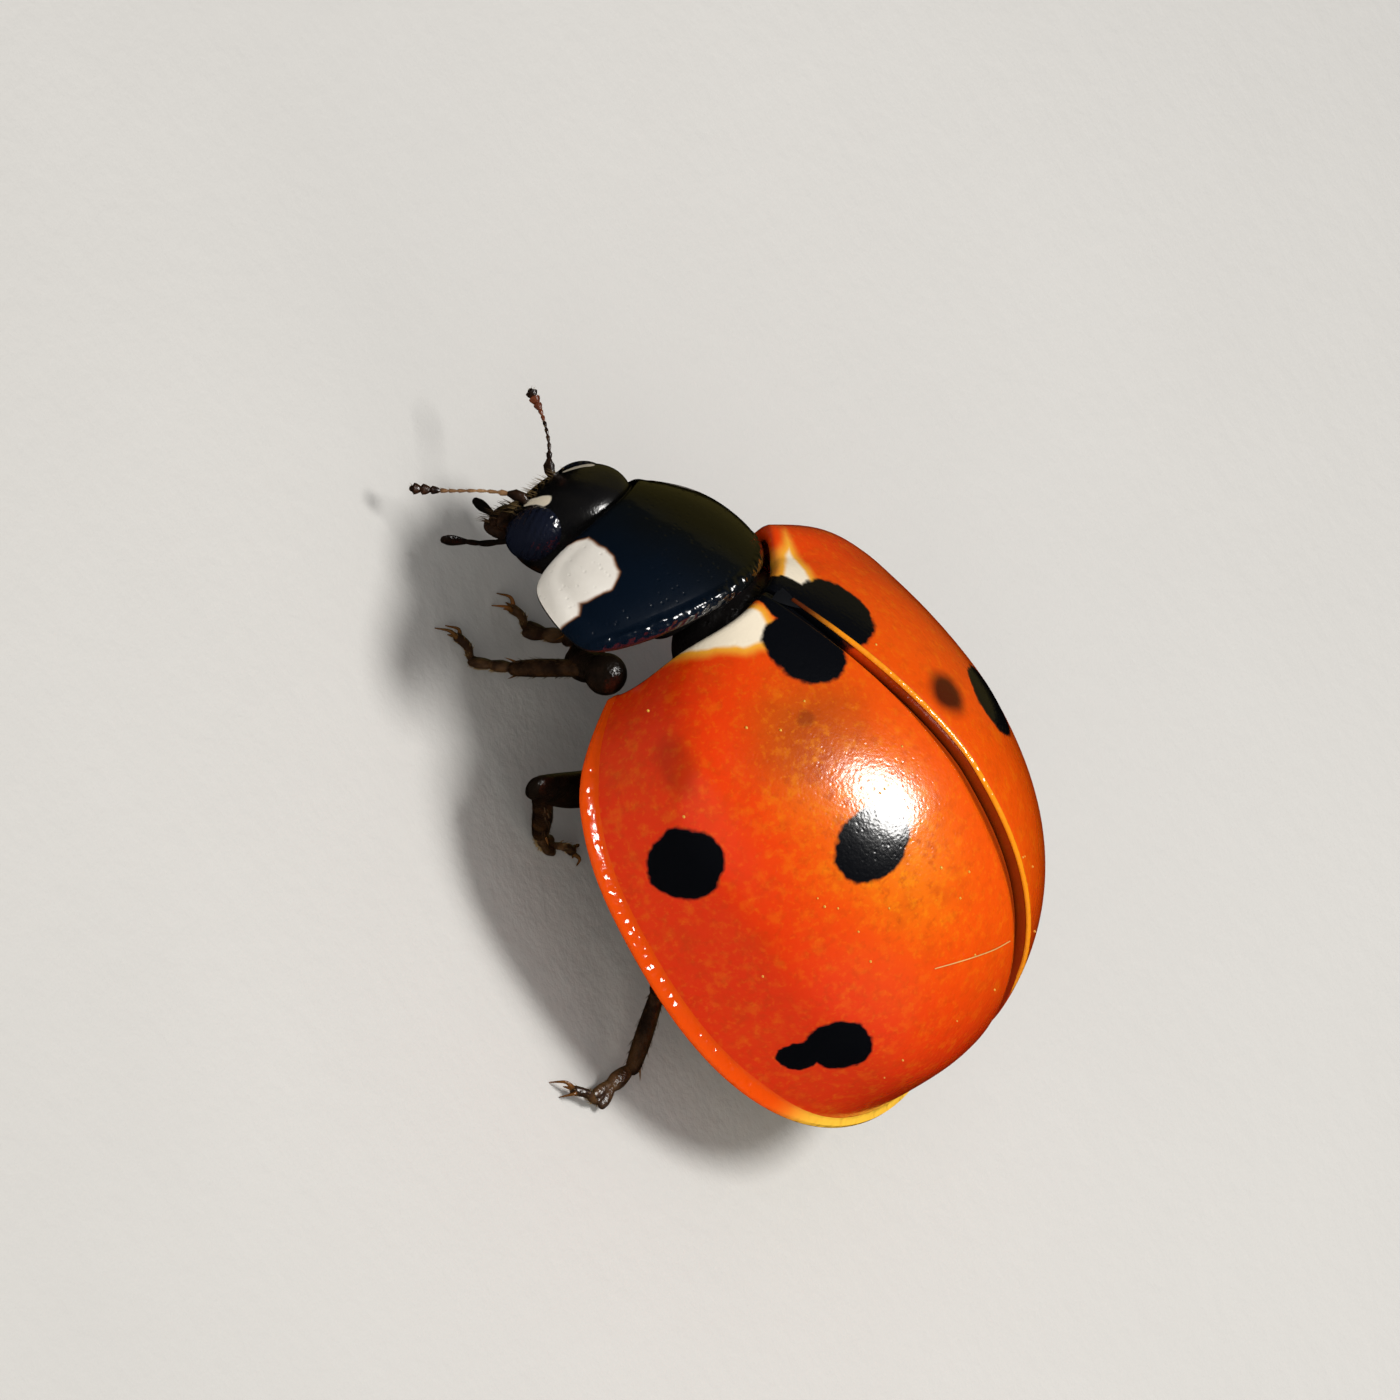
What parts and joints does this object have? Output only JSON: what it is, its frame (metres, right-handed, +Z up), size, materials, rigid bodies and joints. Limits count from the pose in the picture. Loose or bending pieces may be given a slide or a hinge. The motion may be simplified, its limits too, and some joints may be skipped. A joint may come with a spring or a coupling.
{
  "type": "seven-spot ladybird",
  "caption": "Life-size ladybird standing on its feet: domed red wing cases with black spots, black neck shield with white corners, turned head, bent legs.",
  "frame": {"origin": "on the ground under the middle of the animal's box, level with the soles of its feet", "axes": "+Z up; +Y towards the tail, so the head looks along -Y; +X towards the animal's left"},
  "size_m": [0.0072, 0.0084, 0.004],
  "materials": {
    "wing_case": "smooth glossy orange-red shell with seven black spots and two white patches at the front",
    "black_plate": "glossy blue-black shell with fine pits, white front corners on the neck shield",
    "head_plate": "glossy black with two pale spots beside the eyes",
    "eye": "black, finely faceted",
    "mouth": "dark brown, short bristles",
    "feeler": "amber brown, darker at the club",
    "underside": "satin black with short pale hairs",
    "leg": "glossy brown-black with short pale bristles",
    "foot": "brown with golden hairs, amber claws"
  },
  "bodies": {
    "root": {"elytron_left": "wing_case", "elytron_right": "wing_case", "scutellum": "black_plate", "pronotum": "black_plate", "head": "head_plate", "eye_left": "eye", "eye_right": "eye", "labrum": "mouth", "palp_left": "mouth", "palp_right": "mouth", "antenna_left": "feeler", "antenna_right": "feeler", "prothorax": "underside", "thorax": "underside", "abdomen": "underside", "femur_front_left": "leg", "tibia_front_left": "leg", "tarsus_front_left": "foot", "femur_front_right": "leg", "tibia_front_right": "leg", "tarsus_front_right": "foot", "femur_middle_left": "leg", "tibia_middle_left": "leg", "tarsus_middle_left": "foot", "femur_middle_right": "leg", "tibia_middle_right": "leg", "tarsus_middle_right": "foot", "femur_hind_left": "leg", "tibia_hind_left": "leg", "tarsus_hind_left": "foot", "femur_hind_right": "leg", "tibia_hind_right": "leg", "tarsus_hind_right": "foot"}
  },
  "joints": []
}
